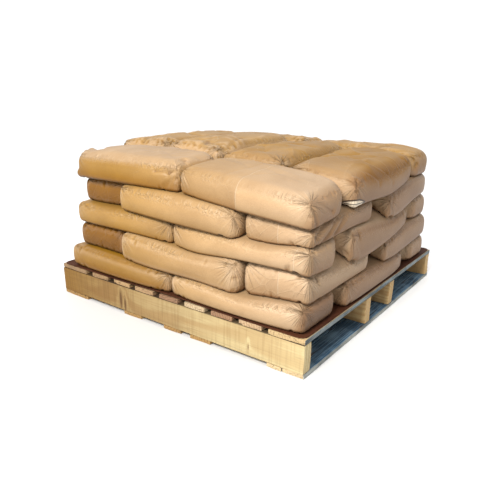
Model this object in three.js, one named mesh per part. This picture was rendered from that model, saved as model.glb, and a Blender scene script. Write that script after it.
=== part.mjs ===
// A square timber pallet with a slip sheet and five layers of filled kraft paper sacks.
// Millimetres, +Z up. The origin is on the floor under the middle of the pallet.
// X runs along the stringers, Y along the deck boards, and -Y is the front.
import * as THREE from 'three';

// Pallet timber
const PALLET_SIDE = 1067;
const HALF_SIDE = PALLET_SIDE / 2;
const BASE_THICK = 13;
const STRINGER_HEIGHT = 89;
const STRINGER_THICK = 38;
const DECK_THICK = 15;
const BASE_CHAMFER = 9;

// Middle of each stringer in Y, front to back
const STRINGER_Y = [-HALF_SIDE + STRINGER_THICK / 2, -108, 97, HALF_SIDE - STRINGER_THICK / 2];

// Left and right edge of each board in X, left to right: mixed widths, unevenly spaced
const DECK_BOARDS = [
  { left: -HALF_SIDE, right: -391 },
  { left: -357, right: -271 },
  { left: -244, right: -156 },
  { left: -130, right: -41 },
  { left: -14, right: 71 },
  { left: 97, right: 181 },
  { left: 207, right: 287 },
  { left: 308, right: 392 },
  { left: 415, right: HALF_SIDE },
];
const BASE_BOARDS = [
  { left: -HALF_SIDE, right: -394 },
  { left: -192, right: -104 },
  { left: 2, right: 80 },
  { left: 119, right: 203 },
  { left: 411, right: 461.5 },
  { left: 463, right: HALF_SIDE },
];

// Slip sheet
const SHEET_SIDE = 1060;
const SHEET_THICK = 2;
const SHEET_CORNER = 28;

// Sacks
const ROW_WIDTH = 249;
const COLUMN_PITCH = 255;
const MIDDLE_LENGTH = 508;
const LAYER_PITCH = 81;
const LAYER_COUNT = 5;
const SIDE_GAP = 3;
const SEAT_GAP = 0.45;

// How much narrower a sack's ends are; the front ends of the sacks along Y are nearly full width
const END_PINCH = 0.12;
const FRONT_PINCH = 0.04;

// Rounding of a sack's lower and upper edges
const LOWER_INSET = 15;
const LOWER_SHOULDER = { inset: 3, level: 0.16 };
const UPPER_INSET = 27;
const UPPER_SHOULDER = { inset: 7, level: 0.82 };

// Rounding of a sack's upright corners: the far right one is rounder
const NEAR_ROUND = 16;
const CENTRE_ROUND = 32;
const FAR_ROUND = 75;
const MIDDLE_ROUND = 35;
const BACK_ROUND = 60;
const LEAST_ROUND = 8;

// Cells of a sack's top and bottom, along and across
const LONG_CELLS = 8;
const CROSS_CELLS = 3;

// How the stack settles: the middle stays thicker, the near right corner is squashed
const RISE_PER_LAYER = 9;
const RISE_REACH = 600;
const CORNER_DROP = [0, 10, 5, 17, 54];
const CORNER_REACH = 350;
const CORNER_AT = { x: 518, y: -500 };

// Where a seam sags, or stands up, along the front and the right side of the stack
const FRONT_SAGS = [
  { seam: 1, x: -60, drop: 13, reach: 280 },
  { seam: 1, x: 300, drop: 19, reach: 110 },
  { seam: 2, x: 110, drop: 16, reach: 140 },
  { seam: 3, x: -330, drop: 12, reach: 150 },
  { seam: 3, x: 120, drop: 14, reach: 240 },
  { seam: 3, x: 345, drop: 19, reach: 110 },
  { seam: 4, x: 20, drop: -6, reach: 200 },
  { seam: 4, x: 440, drop: -6, reach: 110 },
];
const FRONT_DEPTH = 170;
const SIDE_SAGS = [
  { seam: 1, y: 90, drop: 15, reach: 200 },
  { seam: 2, y: -170, drop: 44, reach: 260 },
  { seam: 3, y: 60, drop: 36, reach: 190 },
  { seam: 4, y: 0, drop: 18, reach: 140 },
];
const SIDE_EDGE = 530;
const FRONT_EDGE = -530;

// Where the right side's sag starts in X: a sack is pressed down further in than the one above sags
const SAG_FOOT = 455;
const PRESS_FOOT = 400;

// How far the back right corner of each layer lies in from square
const BACK_TAPER = [0, 8, 12, 28, 20];
const TAPER_SIDE = 533;
const TAPER_BACK = 508;

const sheetBottom = BASE_THICK + STRINGER_HEIGHT + DECK_THICK;
const stackBottom = sheetBottom + SHEET_THICK;

const timber = { roughness: 0.75, metalness: 0 };
const stringerMaterial = () => new THREE.MeshStandardMaterial({ color: 0xdcbf80, ...timber });
const deckMaterial = () => new THREE.MeshStandardMaterial({ color: 0xd3ae78, ...timber });
const baseMaterial = () => new THREE.MeshStandardMaterial({ color: 0xcdb383, ...timber });
const sheetMaterial = () => new THREE.MeshStandardMaterial({ color: 0x6a3b2c, roughness: 0.6, metalness: 0 });
const sackMaterial = () => new THREE.MeshStandardMaterial({ color: 0xd0a26c, roughness: 0.7, metalness: 0 });

const pallet = new THREE.Group();
const load = new THREE.Group();

function addMesh(parent, name, geometry, material, x, y, z) {
  const mesh = new THREE.Mesh(geometry, material);
  mesh.name = name;
  mesh.position.set(x, y, z);
  parent.add(mesh);
  return mesh;
}

// Stringers, standing on edge, full length in X
function addStringers() {
  STRINGER_Y.forEach((y, i) => {
    const geometry = new THREE.BoxGeometry(PALLET_SIDE, STRINGER_THICK, STRINGER_HEIGHT);
    const z = BASE_THICK + STRINGER_HEIGHT / 2;
    addMesh(pallet, `stringer_${i + 1}`, geometry, stringerMaterial(), 0, y, z);
  });
}

// Deck boards: a wide lead board at each end and seven narrow ones between
function addDeckBoards() {
  DECK_BOARDS.forEach(({ left, right }, i) => {
    const geometry = new THREE.BoxGeometry(right - left, PALLET_SIDE, DECK_THICK);
    const z = sheetBottom - DECK_THICK / 2;
    addMesh(pallet, `deck_board_${i + 1}`, geometry, deckMaterial(), (left + right) / 2, 0, z);
  });
}

// Base boards: the left one has its outer lower edge chamfered
function addBaseBoards() {
  BASE_BOARDS.forEach(({ left, right }, i) => {
    const half = (right - left) / 2;
    const chamferLeft = i === 0 ? BASE_CHAMFER : 0;
    const section = new THREE.Shape();
    section.moveTo(-half + chamferLeft, 0);
    section.lineTo(half, 0);
    section.lineTo(half, BASE_THICK);
    section.lineTo(-half, BASE_THICK);
    if (chamferLeft > 0) section.lineTo(-half, chamferLeft / 2);
    section.closePath();
    const geometry = new THREE.ExtrudeGeometry(section, { depth: PALLET_SIDE, bevelEnabled: false });
    const board = addMesh(pallet, `base_board_${i + 1}`, geometry, baseMaterial(), left + half, HALF_SIDE, 0);
    board.rotation.x = Math.PI / 2;
  });
}

// Slip sheet: thin brown board with rounded corners, lying on the deck
function addSlipSheet() {
  const half = SHEET_SIDE / 2;
  const straight = half - SHEET_CORNER;
  const outline = new THREE.Shape();
  outline.absarc(straight, straight, SHEET_CORNER, 0, Math.PI / 2, false);
  outline.absarc(-straight, straight, SHEET_CORNER, Math.PI / 2, Math.PI, false);
  outline.absarc(-straight, -straight, SHEET_CORNER, Math.PI, 1.5 * Math.PI, false);
  outline.absarc(straight, -straight, SHEET_CORNER, 1.5 * Math.PI, 2 * Math.PI, false);
  const options = { depth: SHEET_THICK, bevelEnabled: false, curveSegments: 4 };
  const geometry = new THREE.ExtrudeGeometry(outline, options);
  addMesh(load, 'slip_sheet', geometry, sheetMaterial(), 0, 0, sheetBottom);
}

// Height of the seam above layer k at a place in plan; seam 0 is the slip sheet
function seamHeight(k, x, y, sideFoot) {
  const rise = RISE_PER_LAYER * k * (1 - (x / RISE_REACH) ** 4) * (1 - (y / RISE_REACH) ** 4);
  const fromCorner = Math.hypot(x - CORNER_AT.x, y - CORNER_AT.y) / CORNER_REACH;
  const drop = CORNER_DROP[k] / (1 + fromCorner ** 2);
  const nearFront = Math.exp(-(((y - FRONT_EDGE) / FRONT_DEPTH) ** 2));
  const nearSide = THREE.MathUtils.clamp((x - sideFoot) / (SIDE_EDGE - sideFoot), 0, 1);
  const sagAt = (sag, away) => (sag.seam === k ? sag.drop * Math.exp(-((away / sag.reach) ** 2)) : 0);
  const frontSag = FRONT_SAGS.reduce((sum, sag) => sum + sagAt(sag, x - sag.x), 0);
  const sideSag = SIDE_SAGS.reduce((sum, sag) => sum + sagAt(sag, y - sag.y), 0);
  return stackBottom + LAYER_PITCH * k + rise - drop - nearFront * frontSag - nearSide * sideSag;
}

// X of a place in plan, drawn in towards the back right corner
function tapered(x, y, layer) {
  return x - BACK_TAPER[layer] * (Math.max(x, 0) / TAPER_SIDE) * (Math.max(y, 0) / TAPER_BACK) ** 2;
}

// Boundary of one ring of a sack, in its own frame: straight sides and rounded corners.
// Each corner has three points, and the sides have a point at each cell of the cap.
function ringPoints(halfLong, halfCross, radiusAt) {
  const points = [];
  const sides = [
    { fromX: -1, fromY: -1, toX: 1, toY: -1, cells: LONG_CELLS },
    { fromX: 1, fromY: -1, toX: 1, toY: 1, cells: CROSS_CELLS },
    { fromX: 1, fromY: 1, toX: -1, toY: 1, cells: LONG_CELLS },
    { fromX: -1, fromY: 1, toX: -1, toY: -1, cells: CROSS_CELLS },
  ];
  sides.forEach(({ fromX, fromY, toX, toY, cells }) => {
    const turns = { x: fromX !== toX, y: fromY !== toY };
    const before = radiusAt(fromX, fromY);
    const after = radiusAt(toX, toY);
    for (let i = 0; i <= cells; i += 1) {
      const startX = fromX * (halfLong - (turns.x ? before : 0));
      const startY = fromY * (halfCross - (turns.y ? before : 0));
      const endX = toX * (halfLong - (turns.x ? after : 0));
      const endY = toY * (halfCross - (turns.y ? after : 0));
      const t = i / cells;
      points.push([THREE.MathUtils.lerp(startX, endX, t), THREE.MathUtils.lerp(startY, endY, t)]);
    }
    const cut = after * (1 - Math.SQRT1_2);
    points.push([toX * (halfLong - cut), toY * (halfCross - cut)]);
  });
  return points;
}

// A sack's closed skin: two gridded caps joined by rings round its sides
function sackGeometry(sack, layer) {
  const { x0, x1, y0, y1, top, nearRound = NEAR_ROUND, farRound = FAR_ROUND } = sack;
  const alongX = x1 - x0 > y1 - y0;
  const halfLong = (alongX ? x1 - x0 : y1 - y0) / 2;
  const halfCross = (alongX ? y1 - y0 : x1 - x0) / 2;
  const centre = { x: (x0 + x1) / 2, y: (y0 + y1) / 2 };
  const vertices = [];
  const indices = [];

  // Places a point: level runs from 0 at the seam below to 1 at the seam or crown above
  const place = (long, cross, level) => {
    const pinch = !alongX && long < 0 ? FRONT_PINCH : END_PINCH;
    const pinched = cross * (1 - pinch * (long / halfLong) ** 4);
    const y = centre.y + (alongX ? pinched : long);
    const x = tapered(centre.x + (alongX ? long : -pinched), y, layer);
    const low = seamHeight(layer, x, y, SAG_FOOT) + SEAT_GAP;
    const high = top ? low + top.thick : seamHeight(layer + 1, x, y, PRESS_FOOT) - SEAT_GAP;
    const [offX, offY] = [x - centre.x, y - centre.y];
    vertices.push(alongX ? offX : offY, alongX ? offY : -offX, THREE.MathUtils.lerp(low, high, level));
    return vertices.length / 3 - 1;
  };

  const rings = [
    { inset: LOWER_INSET, level: 0 },
    LOWER_SHOULDER,
    { inset: 0, level: 0.5 },
    { inset: UPPER_SHOULDER.inset, level: UPPER_SHOULDER.level - (top ? 0.04 : 0) },
    { inset: UPPER_INSET, level: top ? 0.93 : 1 },
  ];
  const ringIds = rings.map(({ inset, level }) => {
    const radiusAt = (toX, toY) => {
      const right = alongX ? toX > 0 : toY < 0;
      const far = alongX ? toY > 0 : toX > 0;
      const rightRound = far ? farRound : nearRound;
      return Math.max((right ? rightRound : NEAR_ROUND) - inset, LEAST_ROUND);
    };
    return ringPoints(halfLong - inset, halfCross - inset, radiusAt).map(([x, y]) => place(x, y, level));
  });

  const quad = (a, b, c, d) => indices.push(a, b, c, a, c, d);
  for (let r = 0; r + 1 < ringIds.length; r += 1) {
    const lower = ringIds[r];
    const upper = ringIds[r + 1];
    lower.forEach((id, i) => {
      const next = (i + 1) % lower.length;
      quad(id, lower[next], upper[next], upper[i]);
    });
  }

  // A cap fills its ring: a grid between the straight sides, and a fan at each corner
  const addCap = (ring, level, crown, facesUp) => {
    const straightX = halfLong - FAR_ROUND;
    const straightY = halfCross - FAR_ROUND;
    const put = (...ids) => (facesUp ? indices.push(...ids) : indices.push(ids[0], ids[2], ids[1]));
    const inner = [];
    for (let j = 0; j <= CROSS_CELLS; j += 1) {
      inner.push([]);
      for (let i = 0; i <= LONG_CELLS; i += 1) {
        const u = (2 * i) / LONG_CELLS - 1;
        const v = (2 * j) / CROSS_CELLS - 1;
        const bulge = crown * (1 - 0.6 * u * u) * (1 - 0.6 * v * v);
        inner[j].push(place(u * straightX, v * straightY, level + bulge));
      }
    }
    for (let j = 0; j < CROSS_CELLS; j += 1) {
      for (let i = 0; i < LONG_CELLS; i += 1) {
        put(inner[j][i], inner[j][i + 1], inner[j + 1][i + 1]);
        put(inner[j][i], inner[j + 1][i + 1], inner[j + 1][i]);
      }
    }
    const bottomEdge = inner[0];
    const rightEdge = inner.map((row) => row[LONG_CELLS]);
    const topEdge = [...inner[CROSS_CELLS]].reverse();
    const leftEdge = inner.map((row) => row[0]).reverse();
    let at = 0;
    [bottomEdge, rightEdge, topEdge, leftEdge].forEach((edge) => {
      for (let i = 0; i + 1 < edge.length; i += 1) {
        put(ring[at + i], ring[at + i + 1], edge[i + 1]);
        put(ring[at + i], edge[i + 1], edge[i]);
      }
      const cornerInner = edge[edge.length - 1];
      const last = at + edge.length - 1;
      put(ring[last], ring[last + 1], cornerInner);
      put(ring[last + 1], ring[(last + 2) % ring.length], cornerInner);
      at = last + 2;
    });
  };
  addCap(ringIds[0], 0, 0, false);
  addCap(ringIds[ringIds.length - 1], top ? 0.95 : 1, top ? top.crown : 0, true);

  const geometry = new THREE.BufferGeometry();
  geometry.setAttribute('position', new THREE.Float32BufferAttribute(vertices, 3));
  geometry.setIndex(indices);
  geometry.computeVertexNormals();
  return { geometry, centre, alongX };
}

function addSack(name, sack, layer) {
  const { geometry, centre, alongX } = sackGeometry(sack, layer);
  const mesh = addMesh(load, name, geometry, sackMaterial(), centre.x, centre.y, 0);
  if (!alongX) mesh.rotation.z = Math.PI / 2;
}

// Odd layers: a row of two sacks along X in front and behind, four sacks along Y between
function rowLayer({ left, innerLeft, right, out, front, back, split, farRound }) {
  const g = SIDE_GAP / 2;
  const nearEdge = front + ROW_WIDTH;
  const farEdge = back - ROW_WIDTH;
  const sacks = {
    front_left: { x0: left, x1: split - g, y0: front, y1: nearEdge - g },
    front_right: { x0: split + g, x1: right, y0: front, y1: nearEdge - g, farRound },
    back_left: { x0: innerLeft, x1: split - g, y0: farEdge + g, y1: back },
    back_right: { x0: split + g, x1: right + 4, y0: farEdge + g, y1: back, nearRound: BACK_ROUND },
  };
  const pitch = (out - innerLeft) / 4;
  for (let i = 0; i < 4; i += 1) {
    const x0 = innerLeft + i * pitch;
    const y1 = nearEdge + MIDDLE_LENGTH;
    sacks[`middle_${i + 1}`] = { x0: x0 + g, x1: x0 + pitch - g, y0: nearEdge + g, y1 };
  }
  sacks.middle_4.x1 = out;
  sacks.middle_4.farRound = MIDDLE_ROUND;
  return sacks;
}

// Even layers: a column of two sacks along Y on each side, four sacks along X between
function columnLayer(plan) {
  const { left, right, out, front, back, farRound } = plan;
  const { leftFront, rightFront, rightEnd, leftSplit, rightSplit } = plan;
  const g = SIDE_GAP / 2;
  const sacks = {
    left_front: { x0: left, x1: leftSplit - g, y0: leftFront, y1: -g },
    left_back: { x0: left - 4, x1: leftSplit - g, y0: g, y1: back },
    right_front: { x0: rightSplit + g, x1: right, y0: rightFront, y1: rightEnd, farRound },
    right_back: { x0: rightSplit + g, x1: out, y0: 8 + g, y1: back },
  };
  for (let i = 0; i < 4; i += 1) {
    const y0 = front + i * COLUMN_PITCH + g;
    const y1 = y0 + COLUMN_PITCH - SIDE_GAP;
    sacks[`centre_${i + 1}`] = { x0: leftSplit + g, x1: rightSplit - g, y0, y1 };
  }
  sacks.centre_1.nearRound = CENTRE_ROUND;
  return sacks;
}

// Crowned tops of the upper layer: thickness at the edge, and the further rise of the middle
const topCrown = {
  front_left: { thick: 94, crown: 0.08 },
  front_right: { thick: 88, crown: 0.1 },
  middle_1: { thick: 113, crown: 0.12 },
  middle_2: { thick: 115, crown: 0.12 },
  middle_3: { thick: 101, crown: 0.1 },
  middle_4: { thick: 92, crown: 0.1 },
  back_left: { thick: 104, crown: 0.08 },
  back_right: { thick: 92, crown: 0.12 },
};

const layers = [
  rowLayer({
    left: -490, innerLeft: -487, right: 519, out: 533, front: -531, back: 508, split: 24, farRound: 75,
  }),
  columnLayer({
    left: -458, right: 520, out: 533, front: -531, back: 508, farRound: 108,
    leftFront: -497, rightFront: -496, leftSplit: -212, rightSplit: 293, rightEnd: -25,
  }),
  rowLayer({
    left: -458, innerLeft: -468, right: 521, out: 533, front: -514, back: 506, split: 21, farRound: 118,
  }),
  columnLayer({
    left: -433, right: 520, out: 533, front: -531, back: 508, farRound: 108,
    leftFront: -479, rightFront: -488, leftSplit: -204, rightSplit: 288, rightEnd: -25,
  }),
  rowLayer({
    left: -448, innerLeft: -480, right: 522, out: 533, front: -516, back: 500, split: 60, farRound: 88,
  }),
];

function addSacks() {
  layers.forEach((sacks, layer) => {
    const topLayer = layer === LAYER_COUNT - 1;
    Object.entries(sacks).forEach(([place, sack]) => {
      const top = topLayer ? topCrown[place] : null;
      addSack(`sack_${layer + 1}_${place}`, { ...sack, top }, layer);
    });
  });
}

addStringers();
addDeckBoards();
addBaseBoards();
addSlipSheet();
addSacks();

const group = new THREE.Group();
group.add(pallet, load);

export default group;
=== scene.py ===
"""Looks of a timber pallet with a slip sheet and five layers of creased kraft paper sacks."""
import math
import time

import bpy
import numpy as np
from mathutils import Matrix, Vector


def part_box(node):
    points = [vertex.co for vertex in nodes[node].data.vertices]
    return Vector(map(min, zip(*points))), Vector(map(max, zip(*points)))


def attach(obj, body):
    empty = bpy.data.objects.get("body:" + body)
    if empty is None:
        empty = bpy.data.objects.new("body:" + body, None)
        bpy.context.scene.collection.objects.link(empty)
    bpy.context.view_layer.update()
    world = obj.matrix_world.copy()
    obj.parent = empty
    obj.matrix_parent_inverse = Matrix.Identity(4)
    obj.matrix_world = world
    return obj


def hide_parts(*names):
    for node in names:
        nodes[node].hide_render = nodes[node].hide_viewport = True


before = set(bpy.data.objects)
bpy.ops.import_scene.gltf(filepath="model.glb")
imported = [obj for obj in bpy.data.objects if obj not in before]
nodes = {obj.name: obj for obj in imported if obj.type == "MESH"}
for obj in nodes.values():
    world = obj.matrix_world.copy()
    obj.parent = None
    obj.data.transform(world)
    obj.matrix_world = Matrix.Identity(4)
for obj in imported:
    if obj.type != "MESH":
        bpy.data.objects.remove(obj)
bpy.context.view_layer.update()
MM = 0.001

# Camera, as fitted to the pallet's edges in the photograph
CAMERA_AT = (1.105, -1.5757, 0.7203)
CAMERA_YAW = math.radians(35.88)
CAMERA_PITCH = math.radians(16.74)
CAMERA_ROLL = math.radians(0.636)
CAMERA_LENS = 35.746


def make_camera():
    forward = Vector((
        -math.sin(CAMERA_YAW) * math.cos(CAMERA_PITCH),
        math.cos(CAMERA_YAW) * math.cos(CAMERA_PITCH),
        -math.sin(CAMERA_PITCH),
    ))
    level = Vector((math.cos(CAMERA_YAW), math.sin(CAMERA_YAW), 0))
    upright = level.cross(forward)
    right = math.cos(CAMERA_ROLL) * level + math.sin(CAMERA_ROLL) * upright
    up = right.cross(forward)
    turn = Matrix((right, up, -forward)).transposed().to_4x4()
    data = bpy.data.cameras.new("camera")
    data.lens = CAMERA_LENS
    data.sensor_width = 36
    data.clip_end = 30
    camera = bpy.data.objects.new("camera", data)
    camera.matrix_world = Matrix.Translation(CAMERA_AT) @ turn
    bpy.context.scene.collection.objects.link(camera)
    bpy.context.scene.camera = camera


def area_light(name, at, aim, size, watts, colour):
    data = bpy.data.lights.new(name, "AREA")
    data.shape = "RECTANGLE"
    data.size, data.size_y = size
    data.energy = watts
    data.color = colour
    light = bpy.data.objects.new(name, data)
    light.location = at
    light.rotation_euler = (Vector(aim) - Vector(at)).to_track_quat("-Z", "Y").to_euler()
    bpy.context.scene.collection.objects.link(light)


def make_studio():
    """A pale floor, a bright plain surround and soft lights: the front is lit more than the right side."""
    area_light("key", (0.62, -2.2, 1.8), (0.1, -0.3, 0.3), (0.6, 0.6), 80, (1.0, 0.98, 0.93))
    area_light("overhead", (-0.2, 0.3, 3.4), (0, 0, 0.4), (3.0, 3.0), 5, (1.0, 0.97, 0.93))
    world = bpy.data.worlds.new("surround")
    world.use_nodes = True
    tree = world.node_tree
    towards = tree.nodes.new("ShaderNodeTexCoord")
    side = tree.nodes.new("ShaderNodeSeparateXYZ")
    level = tree.nodes.new("ShaderNodeMapRange")
    level.interpolation_type = "SMOOTHSTEP"
    for n, value in enumerate((0, 0.15, 0.85, 1.12, 0.5)):
        level.inputs[n].default_value = value
    tree.links.new(towards.outputs["Generated"], side.inputs[0])
    tree.links.new(side.outputs["X"], level.inputs[0])
    above = tree.nodes.new("ShaderNodeMapRange")
    above.interpolation_type = "SMOOTHSTEP"
    for n, value in enumerate((0, 0.25, 1.0, 0.0, 0.2)):
        above.inputs[n].default_value = value
    tree.links.new(side.outputs["Z"], above.inputs[0])
    total = tree.nodes.new("ShaderNodeMath")
    tree.links.new(level.outputs[0], total.inputs[0])
    tree.links.new(above.outputs[0], total.inputs[1])
    tree.links.new(total.outputs[0], tree.nodes["Background"].inputs["Strength"])
    tree.nodes["Background"].inputs["Color"].default_value = (0.985, 0.99, 1, 1)
    bpy.context.scene.world = world
    bpy.context.scene.view_settings.view_transform = "Standard"
    mesh = bpy.data.meshes.new("floor")
    reach = 12
    corners = [(-reach, -reach, 0), (reach, -reach, 0), (reach, reach, 0), (-reach, reach, 0)]
    mesh.from_pydata(corners, [], [(0, 1, 2, 3)])
    floor = bpy.data.objects.new("floor", mesh)
    bpy.context.scene.collection.objects.link(floor)
    mesh.materials.append(floor_paint())


def floor_paint():
    """A pale floor, less pale in front of the pallet, where the key light falls."""
    material = bpy.data.materials.new("floor")
    material.use_nodes = True
    tree = material.node_tree
    place = tree.nodes.new("ShaderNodeTexCoord")
    away = tree.nodes.new("ShaderNodeVectorMath")
    away.operation = "LENGTH"
    lit = tree.nodes.new("ShaderNodeVectorMath")
    lit.operation = "SUBTRACT"
    lit.inputs[1].default_value = (0.15, -1.6, 0)
    tree.links.new(place.outputs["Object"], lit.inputs[0])
    tree.links.new(lit.outputs["Vector"], away.inputs[0])
    pale = tree.nodes.new("ShaderNodeMapRange")
    pale.interpolation_type = "SMOOTHSTEP"
    for n, value in enumerate((0, 0.4, 2.2, 0.45, 0.98)):
        pale.inputs[n].default_value = value
    tree.links.new(away.outputs["Value"], pale.inputs[0])
    shader = tree.nodes["Principled BSDF"]
    tree.links.new(pale.outputs[0], shader.inputs["Base Color"])
    shader.inputs["Roughness"].default_value = 0.9
    return material


make_camera()
make_studio()


# Sacks: shape of the stack, as the CAD source has it
LAYER_PITCH = 81 * MM
RISE_PER_LAYER = 9 * MM
RISE_REACH = 600 * MM
CORNER_DROP = [0, 10 * MM, 5 * MM, 17 * MM, 54 * MM]
CORNER_REACH = 350 * MM
CORNER_AT = (518 * MM, -500 * MM)
STACK_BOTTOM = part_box("slip_sheet")[1].z
END_PINCH = 0.12
FRONT_PINCH = 0.04
BACK_TAPER = [0, 8 * MM, 12 * MM, 28 * MM, 20 * MM]
TAPER_SIDE = 533 * MM
TAPER_BACK = 508 * MM

# Sags of the seams along the front and the right side: seam, middle in x or y, drop and reach in mm
FRONT_SAGS = [
    (1, -60, 13, 280), (1, 300, 19, 110), (2, 110, 16, 140), (3, -330, 12, 150),
    (3, 120, 14, 240), (3, 345, 19, 110), (4, 20, -6, 200), (4, 440, -6, 110),
]
SIDE_SAGS = [(1, 90, 15, 200), (2, -170, 44, 260), (3, 60, 36, 190), (4, 0, 18, 140)]
FRONT_EDGE = -530 * MM
FRONT_DEPTH = 170 * MM
SIDE_FOOT = 430 * MM
SIDE_EDGE = 530 * MM

# Crowned tops of the upper layer, as the CAD source has them
TOP_CROWN = {
    "front_left": (94, 0.08), "front_right": (88, 0.1), "middle_1": (113, 0.12), "middle_2": (115, 0.12),
    "middle_3": (101, 0.1), "middle_4": (92, 0.1), "back_left": (104, 0.08), "back_right": (92, 0.12),
}

# Grid of a sack's skin: cells along its length, across it and up its sides
CELLS = (64, 32, 11)
SEED = 7

# Filled shape: how round its edges are, and how much crisper the sack was folded
EDGE_ROUND = 23 * MM
LOWER_ROUND = 15 * MM
BARREL = 5 * MM
CROWN_ROUND = 36 * MM
CORNER_ROUND = 14 * MM
FAR_ROUND = 75 * MM
FAR_ROUNDS = {
    "1_middle_4": 35, "3_middle_4": 35, "5_middle_4": 35, "2_right_front": 108, "4_right_front": 108,
    "3_front_right": 118, "5_front_right": 88,
}
NEAR_ROUNDS = {"1_back_right": 60, "3_back_right": 60, "5_back_right": 60, "2_centre_1": 32, "4_centre_1": 32}
LEAST_ROUND = 4 * MM
CRISPER = 7 * MM
THICK = 84 * MM

# How light the paper of each sack is, set to how light it looks, so partly its own tone and partly painted light and
# shade; the others' tones are picked at random
TONES = {
    "1_front_left": 0.75, "1_front_right": 1.0, "2_left_front": 0.47, "4_left_front": 0.49, "3_middle_4": 1.4,
    "3_front_left": 0.89, "3_front_right": 1.06, "4_centre_1": 0.95, "2_centre_1": 0.94, "5_front_left": 0.77,
    "5_front_right": 0.93, "4_right_front": 0.98, "2_right_front": 0.98, "5_middle_2": 0.93, "5_middle_3": 0.8,
    "5_middle_4": 1.0,
}
TONE_RANGE = (0.86, 1.02)
# Painted light and shade: how much tops are painted lighter or darker than the rest of their sack, as the light falls
# on them, and how much right sides are painted darker, as they face away from the light
TOP_PAINTED_LIGHT = {
    "5_front_left": 1.12, "5_middle_4": 0.72, "5_front_right": 0.88, "5_middle_1": 0.92, "5_middle_2": 0.92,
    "5_middle_3": 0.93,
}
SHADED_ENDS = {
    "1_front_right": 0.76, "5_front_right": 0.38, "2_right_front": 0.3, "3_middle_4": 0.6, "4_right_front": 0.5,
}
SHADED_SIDE = 0.42

# Folds seen on the near sacks, in mm: sack, start and end of the line, how far it is moved, and its half width
FOLD_LINES = [
    # a turned-up ear, and a crumple beside its neighbour
    ("5_front_left", (-446, -458, 541), (-442, -432, 544), (-6, 0, 20), 15),
    ("5_front_left", (-448, -495, 530), (-440, -500, 500), (9, 6, -12), 20),
    ("5_front_left", (-436, -395, 548), (-385, -430, 550), (0, 0, -10), 15),
    ("5_front_left", (8, -516, 466), (52, -512, 500), (0, 8, -2), 8),
    ("5_front_left", (-30, -514, 515), (45, -500, 522), (0, 6, -6), 9),
    ("5_front_left", (20, -516, 500), (30, -440, 548), (0, 3, -8), 9),
    # long pleats down the right side of the upper layer
    ("5_middle_4", (505, -209, 545), (530, -116, 482), (2, 0, 4), 7),
    ("5_middle_4", (512, -190, 540), (530, -100, 478), (-3, 0, -2), 9),
    ("5_middle_4", (505, -102, 545), (530, -6, 472), (2, 0, 4), 7),
    ("5_middle_4", (512, -84, 540), (530, 10, 468), (-3, 0, -2), 9),
    ("5_middle_4", (490, -265, 528), (530, -214, 486), (2, -2, 4), 7),
    ("5_middle_4", (505, -67, 552), (530, 27, 517), (2, 0, 4), 7),
    ("5_front_right", (520, -509, 488), (520, -471, 417), (-5, 0, 0), 7),
    ("5_front_right", (518, -505, 492), (522, -390, 440), (-5, 0, 0), 7),
    ("5_middle_1", (-470, -262, 568), (-392, -262, 580), (0, -3, 10), 16),
    ("5_middle_1", (-430, -250, 580), (-360, -120, 590), (0, 0, -7), 10),
    ("5_middle_2", (-200, -240, 585), (-90, -120, 600), (0, 0, -7), 10),
    ("5_middle_3", (90, -262, 560), (190, -150, 575), (0, 0, -6), 9),
    # curved pleats at the near corner of the fourth layer
    ("4_right_front", (516, -464, 380), (516, -395, 420), (-6, 0, 0), 8),
    ("4_right_front", (518, -433, 358), (518, -334, 416), (-6, 0, 0), 8),
    ("4_right_front", (518, -360, 372), (518, -290, 416), (-6, 0, 0), 8),
    ("3_middle_4", (480, -262, 300), (525, -262, 282), (0, 5, 0), 7),
    ("1_middle_4", (480, -262, 165), (528, -262, 145), (0, 6, 0), 8),
    ("1_middle_4", (500, -262, 190), (528, -262, 165), (0, 5, 0), 7),
]

# A filling valve's two lips: the sack, the corner they go round, their middle height, half length and half height
VALVE_SACK, VALVE_AT, VALVE_SIZE = "sack_5_middle_4", (533 * MM, -262 * MM, 437 * MM), (56 * MM, 12 * MM)

# Upright fold lines in the papers' fronts, in x
FOLDS = {"2_right_front": 419 * MM, "3_front_right": 473 * MM, "4_right_front": 409 * MM, "5_front_right": 286 * MM}
FOLD_DEPTH = 3.5 * MM
FOLD_REACH = 50 * MM
# How much the paper is painted darker left of each fold line and lighter right of it, as painted shade and light
FOLD_SHADES = {"2_right_front": 0.04, "3_front_right": 0.04, "4_right_front": 0.05, "5_front_right": 0.15}

# Sacks with a finer skin, nearest to the camera
REFINED = ["sack_" + name for name in (
    "5_front_left", "5_front_right", "5_middle_3", "5_middle_4", "4_centre_1", "4_right_front", "3_front_left",
    "3_front_right",
)]

# Paper: how much longer it is than the filled shape, and the pleats along that shape's edges
SLACK = 0.003
TOP_SLACK = 0.012
PLEATS = 0.045
PLEAT_REACH = 22 * MM

# Settling of the paper: steps, and how hard it pulls and pushes along edges, across cells and over two cells
STEPS = 420
PULL = (0.24, 0.10, 0.02)
PUSH = (0.16, 0.06, 0.035)
KEEP_SPEED = 0.93
FILL_PRESSURE = 0.012 * MM


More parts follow.
